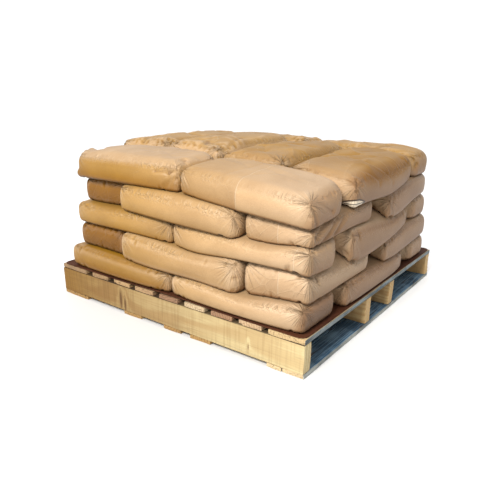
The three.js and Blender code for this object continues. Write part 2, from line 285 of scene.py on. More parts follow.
def seam_height(seam, x, y):
    """Height of the seam above layer number seam; arrays of places in plan, and of seams."""
    drops = np.array(CORNER_DROP)
    rise = RISE_PER_LAYER * seam * (1 - (x / RISE_REACH) ** 4) * (1 - (y / RISE_REACH) ** 4)
    near = ((x - CORNER_AT[0]) ** 2 + (y - CORNER_AT[1]) ** 2) / CORNER_REACH ** 2
    height = STACK_BOTTOM + LAYER_PITCH * seam + rise - drops[seam] / (1 + near)
    near_front = np.exp(-((y - FRONT_EDGE) / FRONT_DEPTH) ** 2)
    near_side = np.clip((x - SIDE_FOOT) / (SIDE_EDGE - SIDE_FOOT), 0, 1) ** 2
    for sags, at, edge in ((FRONT_SAGS, x, near_front), (SIDE_SAGS, y, near_side)):
        for sag_seam, middle, drop, reach in sags:
            height = height - (seam == sag_seam) * edge * drop * MM * np.exp(-((at / MM - middle) / reach) ** 2)
    return height


def grid_quads(grid, flip):
    a, b, c, d = grid[:-1, :-1], grid[1:, :-1], grid[1:, 1:], grid[:-1, 1:]
    quads = np.stack([a, b, c, d], -1).reshape(-1, 4)
    return quads[:, ::-1] if flip else quads


def box_skin(cells):
    """The skin of a box lattice: the lattice place of each point, from -1 to 1, and its quads."""
    places = np.stack(np.meshgrid(*[np.arange(n + 1) for n in cells], indexing="ij"), -1)
    outer = np.zeros(places.shape[:3], bool)
    for axis in range(3):
        outer |= (places[..., axis] == 0) | (places[..., axis] == cells[axis])
    index = np.full(outer.shape, -1)
    index[outer] = np.arange(outer.sum())
    quads = []
    for axis in range(3):
        for side in (0, cells[axis]):
            grid = np.take(index, side, axis)
            outward = (side > 0) != (axis == 1)
            quads.append(grid_quads(grid, not outward))
    return places[outer] / np.array(cells) * 2 - 1, np.concatenate(quads)


def skin_links(count, quads):
    """Pairs of points that pull on each other, each with the point between them, or else the first of the two."""
    edges, across, straight = {}, {}, {}
    around = [set() for _ in range(count)]
    paired = [set() for _ in range(count)]
    for quad in quads.tolist():
        for n in range(4):
            a, b, before = quad[n], quad[(n + 1) % 4], quad[n - 1]
            edges[min(a, b), max(a, b)] = min(a, b)
            around[a].update((b, before))
            paired[a].add(frozenset((b, before)))
        across[quad[0], quad[2]] = quad[0]
        across[quad[1], quad[3]] = quad[1]
    for point in range(count):
        if len(around[point]) != 4:
            continue
        ring = sorted(around[point])
        for n, a in enumerate(ring):
            for b in ring[n + 1:]:
                if frozenset((a, b)) not in paired[point]:
                    straight[a, b] = point
    return edges, across, straight


def link_table(count, pairs, width):
    """Pairs as tables: for each point its partners, the points on the way to them, and which slots are real."""
    table = np.tile(np.arange(count)[:, None], (1, width))
    via = table.copy()
    real = np.zeros((count, width), bool)
    filled = np.zeros(count, int)
    for (a, b), middle in sorted(pairs.items()):
        for one, other in ((a, b), (b, a)):
            table[one, filled[one]] = other
            via[one, filled[one]] = middle
            real[one, filled[one]] = True
            filled[one] += 1
    return table, via, real


class Sacks:
    """Several sacks' skins at once, in arrays of axis by sack by point."""

    def __init__(self, names):
        self.names = names
        boxes = [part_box(name) for name in names]
        low = np.array([box[0] for box in boxes])
        high = np.array([box[1] for box in boxes])
        size = high - low
        column = lambda values: np.array(values, np.float32)[:, None]
        self.along_x = (size[:, 0] > size[:, 1])[:, None]
        self.centre_x = column((low[:, 0] + high[:, 0]) / 2)
        self.centre_y = column((low[:, 1] + high[:, 1]) / 2)
        self.half_long = column(size[:, :2].max(1) / 2)
        self.half_cross = column(size[:, :2].min(1) / 2)
        self.layer = np.array([int(name.split("_")[1]) - 1 for name in names])[:, None]
        self.is_top = self.layer == 4
        crowns = [TOP_CROWN[name.split("_", 2)[2]] if name.startswith("sack_5") else (0, 0) for name in names]
        self.top_thick = column([crown[0] * MM for crown in crowns])
        self.crown = column([crown[1] for crown in crowns])
        self.half_thick = np.where(self.is_top, self.top_thick / 2, THICK / 2).astype(np.float32)
        self.far_round = column([FAR_ROUNDS.get(name[5:], FAR_ROUND / MM) * MM for name in names])
        self.near_round = column([NEAR_ROUNDS.get(name[5:], CORNER_ROUND / MM) * MM for name in names])
        self.slack = column([TOP_SLACK if name[5:].startswith(("5_m", "5_b")) else SLACK for name in names])
        self.taper = (np.array(BACK_TAPER)[self.layer] / TAPER_SIDE).astype(np.float32)
        self.fit_plan(low, high)

    def fit_plan(self, low, high):
        """Finds the sides that a sack has before the taper, so that it fills its CAD box."""
        ring = np.linspace(-1, 1, 21)
        u = np.r_[ring, ring, -1 + 0 * ring, 1 + 0 * ring]
        v = np.r_[-1 + 0 * ring, 1 + 0 * ring, ring, ring]
        for _ in range(4):
            x, y = self.plan(u * self.half_long, v * self.half_cross)
            off_low = low[:, :2] - np.stack([x.min(1), y.min(1)], 1)
            off_high = high[:, :2] - np.stack([x.max(1), y.max(1)], 1)
            shift = ((off_low + off_high) / 2).astype(np.float32)
            grow = ((off_high - off_low) / 2).astype(np.float32)
            self.centre_x += shift[:, :1]
            self.centre_y += shift[:, 1:]
            self.half_long += np.where(self.along_x, grow[:, :1], grow[:, 1:])
            self.half_cross += np.where(self.along_x, grow[:, 1:], grow[:, :1])

    def pinched(self, long):
        """Width of a sack at a place along it, as a part of its full width."""
        pinch = np.where(self.along_x | (long > 0), np.float32(END_PINCH), np.float32(FRONT_PINCH))
        return 1 - pinch * (long / self.half_long) ** 4

    def plan(self, long, cross):
        """Local places along and across a sack to places in plan."""
        cross = cross * self.pinched(long)
        x = self.centre_x + np.where(self.along_x, long, -cross)
        y = self.centre_y + np.where(self.along_x, cross, long)
        return x - self.taper * np.maximum(x, 0) * (np.maximum(y, 0) / TAPER_BACK) ** 2, y

    def seams(self, long, cross):
        """Heights of the seams under and over a sack."""
        x, y = self.plan(long, cross)
        low = seam_height(self.layer, x, y)
        above = seam_height(np.minimum(self.layer + 1, 4), x, y)
        u = np.clip(long / self.half_long, -1, 1)
        v = np.clip(cross / self.half_cross, -1, 1)
        bulge = self.crown * (1 - 0.6 * u * u) * (1 - 0.6 * v * v)
        crowned = low + self.top_thick * (0.95 + bulge)
        return low.astype(np.float32), np.where(self.is_top, crowned, above).astype(np.float32)

    def world(self, brick, low, high):
        """Brick places (along, across, up from the middle) to world places."""
        x, y = self.plan(brick[0], brick[1])
        z = (low + high) / 2 + brick[2] * (high - low) / (2 * self.half_thick)
        return np.stack([x, y, z])

    def brick(self, world, low, high):
        square = 1 - self.taper * (world[0] > 0) * (np.maximum(world[1], 0) / TAPER_BACK) ** 2
        dx, dy = world[0] / square - self.centre_x, world[1] - self.centre_y
        long = np.where(self.along_x, dx, dy)
        cross = np.where(self.along_x, dy, -dx)
        cross = cross / self.pinched(long)
        up = (world[2] - (low + high) / 2) / (high - low) * 2 * self.half_thick
        return np.stack([long, cross, up])

    def onto_mould(self, brick, always, crisper=0.0):
        """Brings brick places back inside the rounded shape of a full sack, or all of them onto it."""
        x, y, z = brick
        right = np.where(self.along_x, x, -y) > 0
        far = np.where(self.along_x, y, x) > 0
        corner = np.where(right, np.where(far, self.far_round, self.near_round), CORNER_ROUND) - crisper
        corner = np.maximum(corner, LEAST_ROUND).astype(np.float32)
        inner = corner + BARREL * (z / self.half_thick) ** 2
        past_x = np.abs(x) - (self.half_long - inner)
        past_y = np.abs(y) - (self.half_cross - inner)
        turning = (past_x > 0) & (past_y > 0)
        swing = np.sqrt(past_x ** 2 + past_y ** 2) + 1e-9
        beyond = np.where(turning, swing, np.maximum(past_x, past_y)) - corner
        out_x = np.where(turning, past_x / swing, past_x >= past_y) * np.sign(x)
        out_y = np.where(turning, past_y / swing, past_x < past_y) * np.sign(y)
        upper = np.where(self.is_top, CROWN_ROUND, EDGE_ROUND)
        radius = np.where(z > 0, upper, LOWER_ROUND) - crisper
        radius = np.maximum(radius, LEAST_ROUND).astype(np.float32)
        aside = np.maximum(radius + beyond, 0)
        level = self.half_thick - radius
        above = np.maximum(np.abs(z) - level, 0)
        scale = radius / (np.sqrt(aside ** 2 + above ** 2) + 1e-9)
        scale = scale if always else np.minimum(scale, 1)
        shift = aside * (scale - 1)
        lifted = np.where(above > 0, np.sign(z) * (level + above * scale), z)
        return np.stack([x + out_x * shift, y + out_y * shift, lifted])


def paper_lengths(sacks, places, first, second):
    """Rest lengths of the paper between pairs of points: those of a crisper shape, with more length along its edges."""
    half = np.stack([sacks.half_long, sacks.half_cross, sacks.half_thick])
    to_end = np.clip((np.abs(places[:, 0]) - 0.8) / 0.2, 0, 1)
    brick = sacks.onto_mould(half * places.T[:, None, :], True, CRISPER * to_end)
    crisp = sacks.world(brick, *sacks.seams(brick[0], brick[1]))
    length = np.sqrt(((crisp[:, :, second] - crisp[:, :, first]) ** 2).sum(0))
    step = np.abs(brick[:, :, second] - brick[:, :, first])
    step /= np.sqrt((step ** 2).sum(0)) + 1e-9
    inset = half * (1 - np.abs(places[first] + places[second]).T[:, None, :] / 2)
    pleats = 0
    for axis in range(3):
        to_edge = inset[(axis + 1) % 3] + inset[(axis + 2) % 3]
        pleats = pleats + step[axis] * np.exp(-to_edge / PLEAT_REACH)
    # The long edges have fewer pleats in their middle than near the ends
    near_end = 0.25 + 0.75 * np.clip((np.abs(places[first, 0]) - 0.35) / 0.45, 0, 1)
    return length * (1 + sacks.slack + PLEATS * near_end * pleats)


def settle_paper(sacks, places, quads):
    """Lets the paper of each sack find its creases: it keeps its length, and the fill pushes it out."""
    count = len(places)
    tables = [link_table(count, pairs, 4) for pairs in skin_links(count, quads)]
    table, via, real = (np.concatenate([each[n] for each in tables], 1).T for n in range(3))
    kinds = np.repeat([0, 1, 2], 4)
    points = np.arange(count)
    lengths = []
    for partners, between in zip(table, via):
        both = paper_lengths(sacks, places, points, between) + paper_lengths(sacks, places, between, partners)
        lengths.append(both.astype(np.float32))
    half = np.stack([sacks.half_long, sacks.half_cross, sacks.half_thick])
    brick = sacks.onto_mould(half * places.T[:, None, :].astype(np.float32), True)
    low, high = sacks.seams(brick[0], brick[1])
    skin = sacks.world(brick, low, high).astype(np.float32)

    random = np.random.default_rng(SEED)
    skin += random.normal(0, 0.8 * MM, skin.shape).astype(np.float32)
    before = skin.copy()
    corners = [quads[:, n] for n in range(4)]
    for step in range(STEPS):
        force = np.zeros_like(skin)
        for slot, kind in enumerate(kinds):
            reach = skin.take(table[slot], 2) - skin
            length = np.sqrt(reach[0] ** 2 + reach[1] ** 2 + reach[2] ** 2) + 1e-9
            gap = 1 - lengths[slot] / length
            gap *= np.where(gap > 0, np.float32(PULL[kind]), np.float32(PUSH[kind])) * real[slot]
            force += reach * gap
        if step % 4 == 0:
            normal = skin_normals(skin, corners, quads, count)
        moved = skin + KEEP_SPEED * (skin - before) + force + FILL_PRESSURE * normal
        if step % 8 == 0:
            brick = sacks.brick(moved, low, high)
            low, high = sacks.seams(brick[0], brick[1])
        brick = sacks.onto_mould(sacks.brick(moved, low, high), False)
        before = skin
        skin = sacks.world(brick, low, high).astype(np.float32)
    return skin


def skin_normals(skin, corners, quads, count):
    """Unit normals of the skins, from the diagonals of their quads."""
    first = skin[:, :, corners[2]] - skin[:, :, corners[0]]
    second = skin[:, :, corners[3]] - skin[:, :, corners[1]]
    facing = np.stack([
        first[1] * second[2] - first[2] * second[1],
        first[2] * second[0] - first[0] * second[2],
        first[0] * second[1] - first[1] * second[0],
    ])
    normal = np.zeros_like(skin)
    for corner in corners:
        order = np.argsort(corner, kind="stable")
        starts = np.flatnonzero(np.r_[True, np.diff(corner[order]) > 0])
        sums = np.add.reduceat(facing[:, :, order], starts, axis=2)
        normal[:, :, corner[order][starts]] += sums
    return normal / (np.sqrt((normal ** 2).sum(0)) + 1e-12)


def curvature(mesh, reach):
    """How far each point stands out from the mean of its neighbours, as a part of reach; less than 0 in a valley."""
    count = len(mesh.vertices)
    at = np.empty(3 * count)
    mesh.vertices.foreach_get("co", at)
    at = at.reshape(-1, 3)
    normal = np.empty(3 * count)
    mesh.vertices.foreach_get("normal", normal)
    normal = normal.reshape(-1, 3)
    edges = np.empty(2 * len(mesh.edges), int)
    mesh.edges.foreach_get("vertices", edges)
    a, b = edges.reshape(-1, 2).T
    degree = np.bincount(np.r_[a, b], minlength=count)
    mean = np.stack([np.bincount(np.r_[a, b], np.r_[at[b, n], at[a, n]], count) for n in range(3)], 1)
    out = ((at - mean / degree[:, None]) * normal).sum(1) / reach
    for _ in range(2):
        near = np.bincount(np.r_[a, b], np.r_[out[b], out[a]], count) / degree
        out = (out + near) / 2
    return np.clip(out, -1, 1)


def fold_angles(mesh):
    """Angle between the two faces at each edge of a closed mesh."""
    edge_of = np.empty(len(mesh.loops), int)
    mesh.loops.foreach_get("edge_index", edge_of)
    face_of = np.repeat(np.arange(len(mesh.polygons)), 4)
    normal = np.empty(3 * len(mesh.polygons))
    mesh.polygons.foreach_get("normal", normal)
    pairs = face_of[np.argsort(edge_of, kind="stable")].reshape(-1, 2)
    first, second = (normal.reshape(-1, 3)[pairs[:, n]] for n in range(2))
    return np.arccos(np.clip((first * second).sum(1), -1, 1))


def store(mesh, name, values):
    """Keeps one number, or three, for each point of a mesh."""
    wide = values.ndim == 2
    layer = mesh.attributes.new(name, "FLOAT_VECTOR" if wide else "FLOAT", "POINT")
    layer.data.foreach_set("vector" if wide else "value", values.astype(np.float32).ravel())


class Paint:
    """A procedural material, built from its nodes."""

    def __init__(self, name, rough):
        self.material = bpy.data.materials.new(name)
        self.material.use_nodes = True
        self.tree = self.material.node_tree
        self.shader = self.tree.nodes["Principled BSDF"]
        self.shader.inputs["Roughness"].default_value = rough

    def plug(self, socket, value):
        if isinstance(value, bpy.types.NodeSocket):
            self.tree.links.new(value, socket)
        elif isinstance(value, tuple) and len(value) == 3 and len(socket.default_value) == 4:
            socket.default_value = (*value, 1)
        else:
            socket.default_value = value

    def add(self, kind, settings=None, **inputs):
        node = self.tree.nodes.new("ShaderNode" + kind)
        for key, value in (settings or {}).items():
            setattr(node, key, value)
        for key, value in inputs.items():
            self.plug(node.inputs[key], value)
        return node

    def attribute(self, name, vector=False):
        return self.add("Attribute", {"attribute_name": name}).outputs["Vector" if vector else "Fac"]

    def math(self, operation, a, b=0.0, clamp=False):
        node = self.add("Math", {"operation": operation, "use_clamp": clamp})
        self.plug(node.inputs[0], a)
        self.plug(node.inputs[1], b)
        return node.outputs[0]

    def stretch(self, at, scale):
        node = self.add("VectorMath", {"operation": "MULTIPLY"})
        self.plug(node.inputs[0], at)
        self.plug(node.inputs[1], scale)
        return node.outputs[0]

    def noise(self, at, scale, detail=2.0, rough=0.5, distortion=0.0):
        node = self.add("TexNoise", Vector=at, Scale=scale, Detail=detail, Roughness=rough, Distortion=distortion)
        return node.outputs[0]

    def band(self, value, low, high, to_low=0.0, to_high=1.0):
        node = self.add("MapRange", {"interpolation_type": "SMOOTHSTEP"})
        for n, each in enumerate((value, low, high, to_low, to_high)):
            self.plug(node.inputs[n], each)
        return node.outputs[0]

    def mix(self, factor, a, b, blend="MIX"):
        node = self.add("Mix", {"data_type": "RGBA", "blend_type": blend})
        self.plug(node.inputs[0], factor)
        self.plug(node.inputs[6], a)
        self.plug(node.inputs[7], b)
        return node.outputs[2]

    def cracks(self, at, scale):
        """Distance to the nearest line of a net of creases."""
        node = self.add("TexVoronoi", {"feature": "DISTANCE_TO_EDGE"}, Vector=at, Scale=scale)
        return node.outputs["Distance"]

    def finish(self, colour, height, depth, strength=1.0):
        self.plug(self.shader.inputs["Base Color"], colour)
        bump = self.add("Bump", Height=height, Distance=depth, Strength=strength)
        self.plug(self.shader.inputs["Normal"], bump.outputs[0])
        return self.material


def kraft_paper():
    """Brown paper: golden, with fibres, creases and pleats; paler towards the near right corner as painted highlight,
    with painted highlights on creases, pleats and folds and painted shade in their dips and valleys.
    """
    paint = Paint("kraft_paper", 0.5)
    paint.shader.inputs["Specular IOR Level"].default_value = 0.33
    at = paint.attribute("paper", vector=True)
    inset = paint.attribute("inset", vector=True)
    crease = paint.attribute("crease")
    ends = paint.attribute("ends")
    tone = paint.attribute("tone")
    painted_highlight = paint.attribute("painted_highlight")
    fold = paint.attribute("fold")
    blotch = paint.noise(at, 6.0, 3.0, 0.6)
    streak = paint.noise(paint.stretch(at, (0.35, 3.2, 1)), 9.0, 3.0, 0.55)
    fibre = paint.noise(paint.stretch(at, (1.0, 2.6, 1)), 210.0, 2.0, 0.6)

    # A net of fine creases, in patches
    wander = paint.add("VectorMath", {"operation": "ADD"})
    paint.plug(wander.inputs[0], at)
    drift = paint.add("TexNoise", Vector=at, Scale=24.0, Detail=2.0)
    paint.plug(wander.inputs[1], paint.stretch(drift.outputs[1], (0.01, 0.01, 0.01)))
    net_line = paint.band(paint.cracks(paint.stretch(wander.outputs[0], (1.0, 0.7, 1.0)), 26.0), 0.0, 0.06, 1.0, 0.0)
    where = paint.band(paint.noise(at, 8.0, 2.0, 0.5), 0.55, 0.75, 0.0, 0.5)
    lines = paint.math("MULTIPLY", net_line, paint.math("MAXIMUM", where, paint.math("MULTIPLY", ends, 0.6)))

    long_line = paint.band(paint.cracks(paint.stretch(wander.outputs[0], (1.0, 0.6, 1.0)), 10.0), 0.0, 0.03, 1.0, 0.0)
    long_line = paint.math("MULTIPLY", long_line, paint.band(paint.noise(at, 5.0, 1.0, 0.5), 0.4, 0.58))
    lines = paint.math("MAXIMUM", lines, paint.math("MULTIPLY", long_line, paint.attribute("loose")))

    # Pleats that fan out from the corners, and short ones that cross the long edges
    away = paint.add("VectorMath", {"operation": "LENGTH"})
    paint.plug(away.inputs[0], inset)
    fan = paint.add("VectorMath", {"operation": "NORMALIZE"})
    paint.plug(fan.inputs[0], inset)
    turned = paint.add("VectorMath", {"operation": "ADD"})
    paint.plug(turned.inputs[0], fan.outputs[0])
    paint.plug(turned.inputs[1], paint.stretch(at, (0.2, 0.2, 1.0)))
    rays = paint.noise(turned.outputs[0], 5.0, 1.0, 0.5)
    near_corner = paint.band(away.outputs["Value"], 0.025, 0.1, 1.0, 0.0)
    near_corner = paint.math("MULTIPLY", near_corner, paint.band(paint.noise(at, 11.0, 1.0, 0.5), 0.4, 0.6, 0.3, 1.0))
    short = paint.noise(paint.stretch(at, (1.0, 0.12, 1.0)), 85.0, 1.0, 0.4)
    sides = paint.add("SeparateXYZ", Vector=inset)
    from_edge = paint.math("ADD", sides.outputs["Y"], sides.outputs["Z"])
    near_edge = paint.band(from_edge, 0.008, 0.034, 1.0, 0.0)
    near_edge = paint.math("MULTIPLY", near_edge, paint.band(paint.noise(at, 6.0, 1.0, 0.5), 0.4, 0.6, 0.15, 0.7))
    pleats = 0.0
    dips = 0.0
    for wave, place in ((rays, near_corner), (short, near_edge)):
        ridge = paint.band(paint.math("ABSOLUTE", paint.math("SUBTRACT", wave, 0.5)), 0.0, 0.07, 1.0, 0.0)
        pleats = paint.math("MAXIMUM", pleats, paint.math("MULTIPLY", ridge, place))
        dip = paint.band(paint.math("ABSOLUTE", paint.math("SUBTRACT", wave, 0.38)), 0.0, 0.06, 1.0, 0.0)
        dips = paint.math("MAXIMUM", dips, paint.math("MULTIPLY", dip, place))
    folded = paint.band(paint.math("ABSOLUTE", fold), 0.0, 0.0025, 1.0, 0.0)

    # Painted highlight: the paper is mixed from golden towards paler where the light falls brighter, towards the near
    # right corner and on some tops
    golden = paint.mix(paint.band(blotch, 0.3, 0.7), (0.288, 0.149, 0.030), (0.372, 0.202, 0.045))
    pale = paint.mix(paint.band(blotch, 0.3, 0.7), (0.365, 0.242, 0.142), (0.44, 0.303, 0.19))
    colour = paint.mix(painted_highlight, golden, pale)
    colour = paint.mix(paint.math("MULTIPLY", streak, 0.2), colour, (0.42, 0.27, 0.11))
    colour = paint.mix(paint.math("MULTIPLY", ends, 0.15), colour, (0.42, 0.26, 0.15))
    # Pale crease lines: partly paper whitened at its creases, partly painted highlight on them
    colour = paint.mix(paint.math("MULTIPLY", lines, 0.25), colour, (0.55, 0.40, 0.25))
    # Painted highlights on pleat ridges and along the fold line, painted shade in the dips between pleats
    colour = paint.mix(paint.math("MULTIPLY", pleats, 0.3), colour, (0.68, 0.52, 0.36))
    colour = paint.mix(paint.math("MULTIPLY", dips, 0.3), colour, (0.17, 0.085, 0.035))
    colour = paint.mix(paint.math("MULTIPLY", folded, 0.4), colour, (0.68, 0.52, 0.36))
    # Painted highlight on the skin's ridges, partly paper whitened there, and painted shade in its valleys
    ridge = paint.band(crease, 0.15, 1.0)
    valley = paint.band(crease, -1.0, -0.2, 1.0, 0.0)
    colour = paint.mix(paint.math("MULTIPLY", ridge, 0.35), colour, (0.60, 0.43, 0.28))
    colour = paint.mix(paint.math("MULTIPLY", valley, 0.5), colour, (0.15, 0.072, 0.03))
    # The tone carries painted light and shade; darker tone is made redder and more saturated, as light bounced between
    # the sacks would be
    deeper = paint.band(tone, 0.4, 0.95, 1.28, 1.0)
    redder = paint.band(tone, 0.4, 0.85, 0.487, 0.5)
    shade = paint.add("HueSaturation", Hue=redder, Saturation=deeper, Fac=1.0, Value=tone)
    paint.plug(shade.inputs["Color"], colour)
    grain = paint.mix(paint.band(fibre, 0.35, 0.65), (0.93, 0.93, 0.93), (1.04, 1.04, 1.04))
    colour = paint.mix(1.0, shade.outputs[0], grain, "MULTIPLY")

    # The filling valve: two pale lips with a dark gap between them, and painted shadow round them
    lips = paint.add("SeparateXYZ", Vector=paint.attribute("valve", vector=True))
    up = paint.math("ABSOLUTE", lips.outputs["Y"])
    lens = paint.math("ADD", up, paint.math("MULTIPLY", lips.outputs["X"], lips.outputs["X"]))
    colour = paint.mix(paint.band(lens, 0.75, 0.95, 0.9, 0.0), colour, (0.70, 0.60, 0.46))
    rim_shadow = paint.band(paint.math("ABSOLUTE", paint.math("SUBTRACT", lens, 1.05)), 0.08, 0.3, 0.9, 0.0)
    gap = paint.math("MULTIPLY", paint.band(up, 0.05, 0.2, 0.85, 0.0), paint.band(lens, 0.9, 1.0, 1.0, 0.0))
    colour = paint.mix(paint.math("MAXIMUM", rim_shadow, gap), colour, (0.02, 0.013, 0.012))
    crumple = paint.noise(at, 26.0, 2.0, 0.5)
    height = paint.math("MULTIPLY", lines, 0.6)
    height = paint.math("ADD", height, paint.math("MULTIPLY", pleats, 1.2))
    height = paint.math("SUBTRACT", height, paint.math("MULTIPLY", dips, 0.7))
    height = paint.math("ADD", height, paint.math("MULTIPLY", folded, 0.6))
    height = paint.math("ADD", height, paint.math("MULTIPLY", fibre, 0.08))
    height = paint.math("ADD", height, paint.math("MULTIPLY", crumple, paint.band(ends, 0.0, 1.0, 0.4, 1.4)))
    return paint.finish(colour, height, 0.0022, 0.9)


def corner_places(places, sacks, n):
    """How far each point lies from the sack's nearest end and side, and from its top, in metres."""
    half = np.array([sacks.half_long[n, 0], sacks.half_cross[n, 0], sacks.half_thick[n, 0]])
    inward = 1 - np.abs(places)
    inward[:, 2] = 1 - places[:, 2]
    return inward * half


def paper_places(places, sacks, n):
    """Places on the flat paper of sack n, in metres: along it, round it, and a different number for each sack."""
    long = places[:, 0] * float(sacks.half_long[n, 0])
    round_it = places[:, 1] * float(sacks.half_cross[n, 0]) + 0.5 * places[:, 2] * THICK
    return np.stack([long, round_it, 3.7 * (n + 1) + 0.4 * places[:, 2] * THICK], 1)


def from_fold(name, skin):
    """How far each point lies to the right of the sack's upright fold line."""
    return skin[:, 0] - FOLDS.get(name[5:], 9.0)


def ridged(name, skin):
    """The skin with its front drawn back a little on both sides of its fold line."""
    away = np.abs(from_fold(name, skin))
    back = np.where(away < FOLD_REACH, away / FOLD_REACH, np.exp(-(away - FOLD_REACH) / (1.5 * FOLD_REACH)))
    middle = (skin[:, 1].min() + skin[:, 1].max()) / 2
    in_front = np.clip((middle - skin[:, 1]) / (middle - skin[:, 1].min()), 0, 1)
    skin = skin.copy()
    skin[:, 1] += FOLD_DEPTH * back * in_front ** 3
    return skin


def dented(name, skin):
    """The skin with its listed folds pressed in or drawn out along their lines."""
    for sack, start, end, offset, reach in FOLD_LINES:
        if sack != name[5:]:
            continue
        start, end, offset = (np.array(each) * MM for each in (start, end, offset))
        run = end - start
        part = np.clip((skin - start) @ run / (run @ run), 0, 1)
        away = np.sqrt(((skin - start - part[:, None] * run) ** 2).sum(1)) / (reach * MM)
        skin = skin + offset * np.exp(-away ** 2)[:, None]
    return skin


def loosened(name, skin):
    """The skin of an upper sack with loose folds in its top: short straight creases, more down than up."""
    if not name.startswith("sack_5"):
        return skin
    random = np.random.default_rng(sum(ord(letter) for letter in name) + SEED)
    low, high = skin.min(0), skin.max(0)
    up = np.clip((skin[:, 2] - high[2] + 50 * MM) / (30 * MM), 0, 1)
    full = 0.4 if "front" in name else 1.0
    lift = np.zeros(len(skin))
    for n in range(16):
        middle = random.uniform(low[:2], high[:2])
        turn = random.uniform(0, math.pi)
        run = random.uniform(45, 120) * MM * np.array([math.cos(turn), math.sin(turn)])
        reach = random.uniform(11, 20) * MM
        depth = random.uniform(-9, -4) if n % 2 else random.uniform(3, 6)
        part = (skin[:, :2] - middle) @ run / (run @ run)
        away = skin[:, :2] - middle - np.clip(part, -1, 1)[:, None] * run
        lift += depth * MM * np.exp(-np.sqrt((away ** 2).sum(1)) / reach)
    skin = skin.copy()
    skin[:, 2] += full * up * np.clip(lift, -14 * MM, 6 * MM)
    return skin


def valve_places(name, skin):
    """Places round the corner from the valve's middle, and above it, as parts of its half length and half height."""
    if name != VALVE_SACK:
        return np.full(skin.shape, 9.0)
    away = skin - np.array(VALVE_AT)
    return np.stack([(away[:, 0] + away[:, 1]) / VALVE_SIZE[0], away[:, 2] / VALVE_SIZE[1], 0 * away[:, 2]], 1)


def shading(name, skin, places):
    """Painted light and shade: paper darker left of a fold line, where it faces away from the light, low down and at
    seams, where shade falls, and on right sides; tops painted lighter or darker.
    """
    away = from_fold(name, skin)
    on_top = np.clip((places[:, 2] - 0.5) / 0.5, 0, 1)
    turned = np.clip(away / ((4 + 40 * on_top) * MM), -1, 1) * (1 - 0.6 * on_top)
    side = 1 + FOLD_SHADES.get(name[5:], 0) * turned * np.exp(-np.abs(away) / 0.3)
    top = 1 + (TOP_PAINTED_LIGHT.get(name[5:], 1) - 1) * on_top
    low = 1.04 - 0.36 * np.clip((0.3 - places[:, 2]) / 1.1, 0, 1) ** 1.3
    seam = np.clip((places[:, 2] + 1) / 0.3, 0, 1)
    if not name.startswith("sack_5"):
        seam = np.minimum(seam, np.clip((1 - places[:, 2]) / 0.17, 0, 1) + 0.85)
    right = SHADED_ENDS.get(name[5:], SHADED_SIDE) * np.clip((skin[:, 0] - 0.485) / 0.04, 0, 1)
    return side * top * low * (0.38 + 0.62 * seam) * (1 - right)


def sack_object(name, skin, places, quads, paper, inset, tone, refine):
    skin = ridged(name, skin)
    mesh = bpy.data.meshes.new("skin_" + name)
    mesh.from_pydata(skin.tolist(), [], quads.tolist())
    store(mesh, "paper", paper)
    store(mesh, "inset", inset)
    # Painted highlight: paler towards the near right corner, except on the upper layer's tops, and paler on the tops
    # that are painted lighter
    on_top = np.clip((skin[:, 1] + 0.32) / 0.2, 0, 1) * np.clip((skin[:, 2] - 0.46) / 0.05, 0, 1)
    painted_top_highlight = 0.7 * (TOP_PAINTED_LIGHT.get(name[5:], 1) > 1) * np.clip((places[:, 2] - 0.5) / 0.5, 0, 1)
    store(mesh, "painted_highlight", np.maximum(np.clip((skin[:, 0] + 0.2) / 0.7, 0, 1) * (1 - on_top), painted_top_highlight))
    store(mesh, "fold", from_fold(name, skin))
    store(mesh, "valve", valve_places(name, skin))
    loose = 0.8 * np.clip((places[:, 2] - 0.4) / 0.4, 0, 1) if name[5:].startswith(("5_m", "5_b")) else 0 * places[:, 2]
    store(mesh, "loose", np.maximum(loose, 0.12))
    store(mesh, "ends", np.clip((np.abs(places[:, 0]) - 0.88) / 0.1, 0, 1))
    # tone: the sack's own tone times its painted light and shade
    store(mesh, "tone", tone * shading(name, skin, places))
    piece = bpy.data.objects.new("paper_" + name, mesh)
    bpy.context.scene.collection.objects.link(piece)
    if refine:
        edges = np.empty(2 * len(mesh.edges), int)
        mesh.edges.foreach_get("vertices", edges)
        ends = np.abs(places[edges.reshape(-1, 2)])
        upright = (ends[:, :, 0] == 1).all(1) & (ends[:, :, 1] == 1).all(1)
        sharp = np.clip((fold_angles(mesh) - math.radians(9)) / math.radians(22), 0, 0.9)
        crease = mesh.attributes.new("crease_edge", "FLOAT", "EDGE")
        crease.data.foreach_set("value", np.maximum(0.7 * upright, sharp).astype(np.float32))
        piece.modifiers.new("refine", "SUBSURF").render_levels = 1
        piece.modifiers["refine"].levels = 1
        bpy.context.view_layer.update()
        shaped = bpy.data.meshes.new_from_object(piece.evaluated_get(bpy.context.evaluated_depsgraph_get()))
        piece.modifiers.clear()
        piece.data = shaped
    at = np.empty(3 * len(piece.data.vertices))
    piece.data.vertices.foreach_get("co", at)
    piece.data.vertices.foreach_set("co", loosened(name, dented(name, at.reshape(-1, 3))).ravel())
    piece.data.update()
    store(piece.data, "crease", curvature(piece.data, 0.6 * MM))
    piece.data.shade_smooth()
    return piece


names = sorted(name for name in nodes if name.startswith("sack_"))


def make_sacks():
    places, quads = box_skin(CELLS)
    began = time.time()
    sacks = Sacks(names)
    skins = settle_paper(sacks, places, quads)
    tones = np.random.default_rng(SEED + 1).uniform(*TONE_RANGE, len(names))
    print("settled", len(names), "sacks in", round(time.time() - began, 1), "s")
    for n, name in enumerate(names):
        paper, inset = paper_places(places, sacks, n), corner_places(places, sacks, n)
        refine = name in REFINED
        tone = TONES.get(name[5:], tones[n])
        piece = sack_object(name, skins[:, n].T, places, quads, paper, inset, tone, refine)
        piece.data.materials.append(paint)
        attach(piece, "root")
        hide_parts(name)


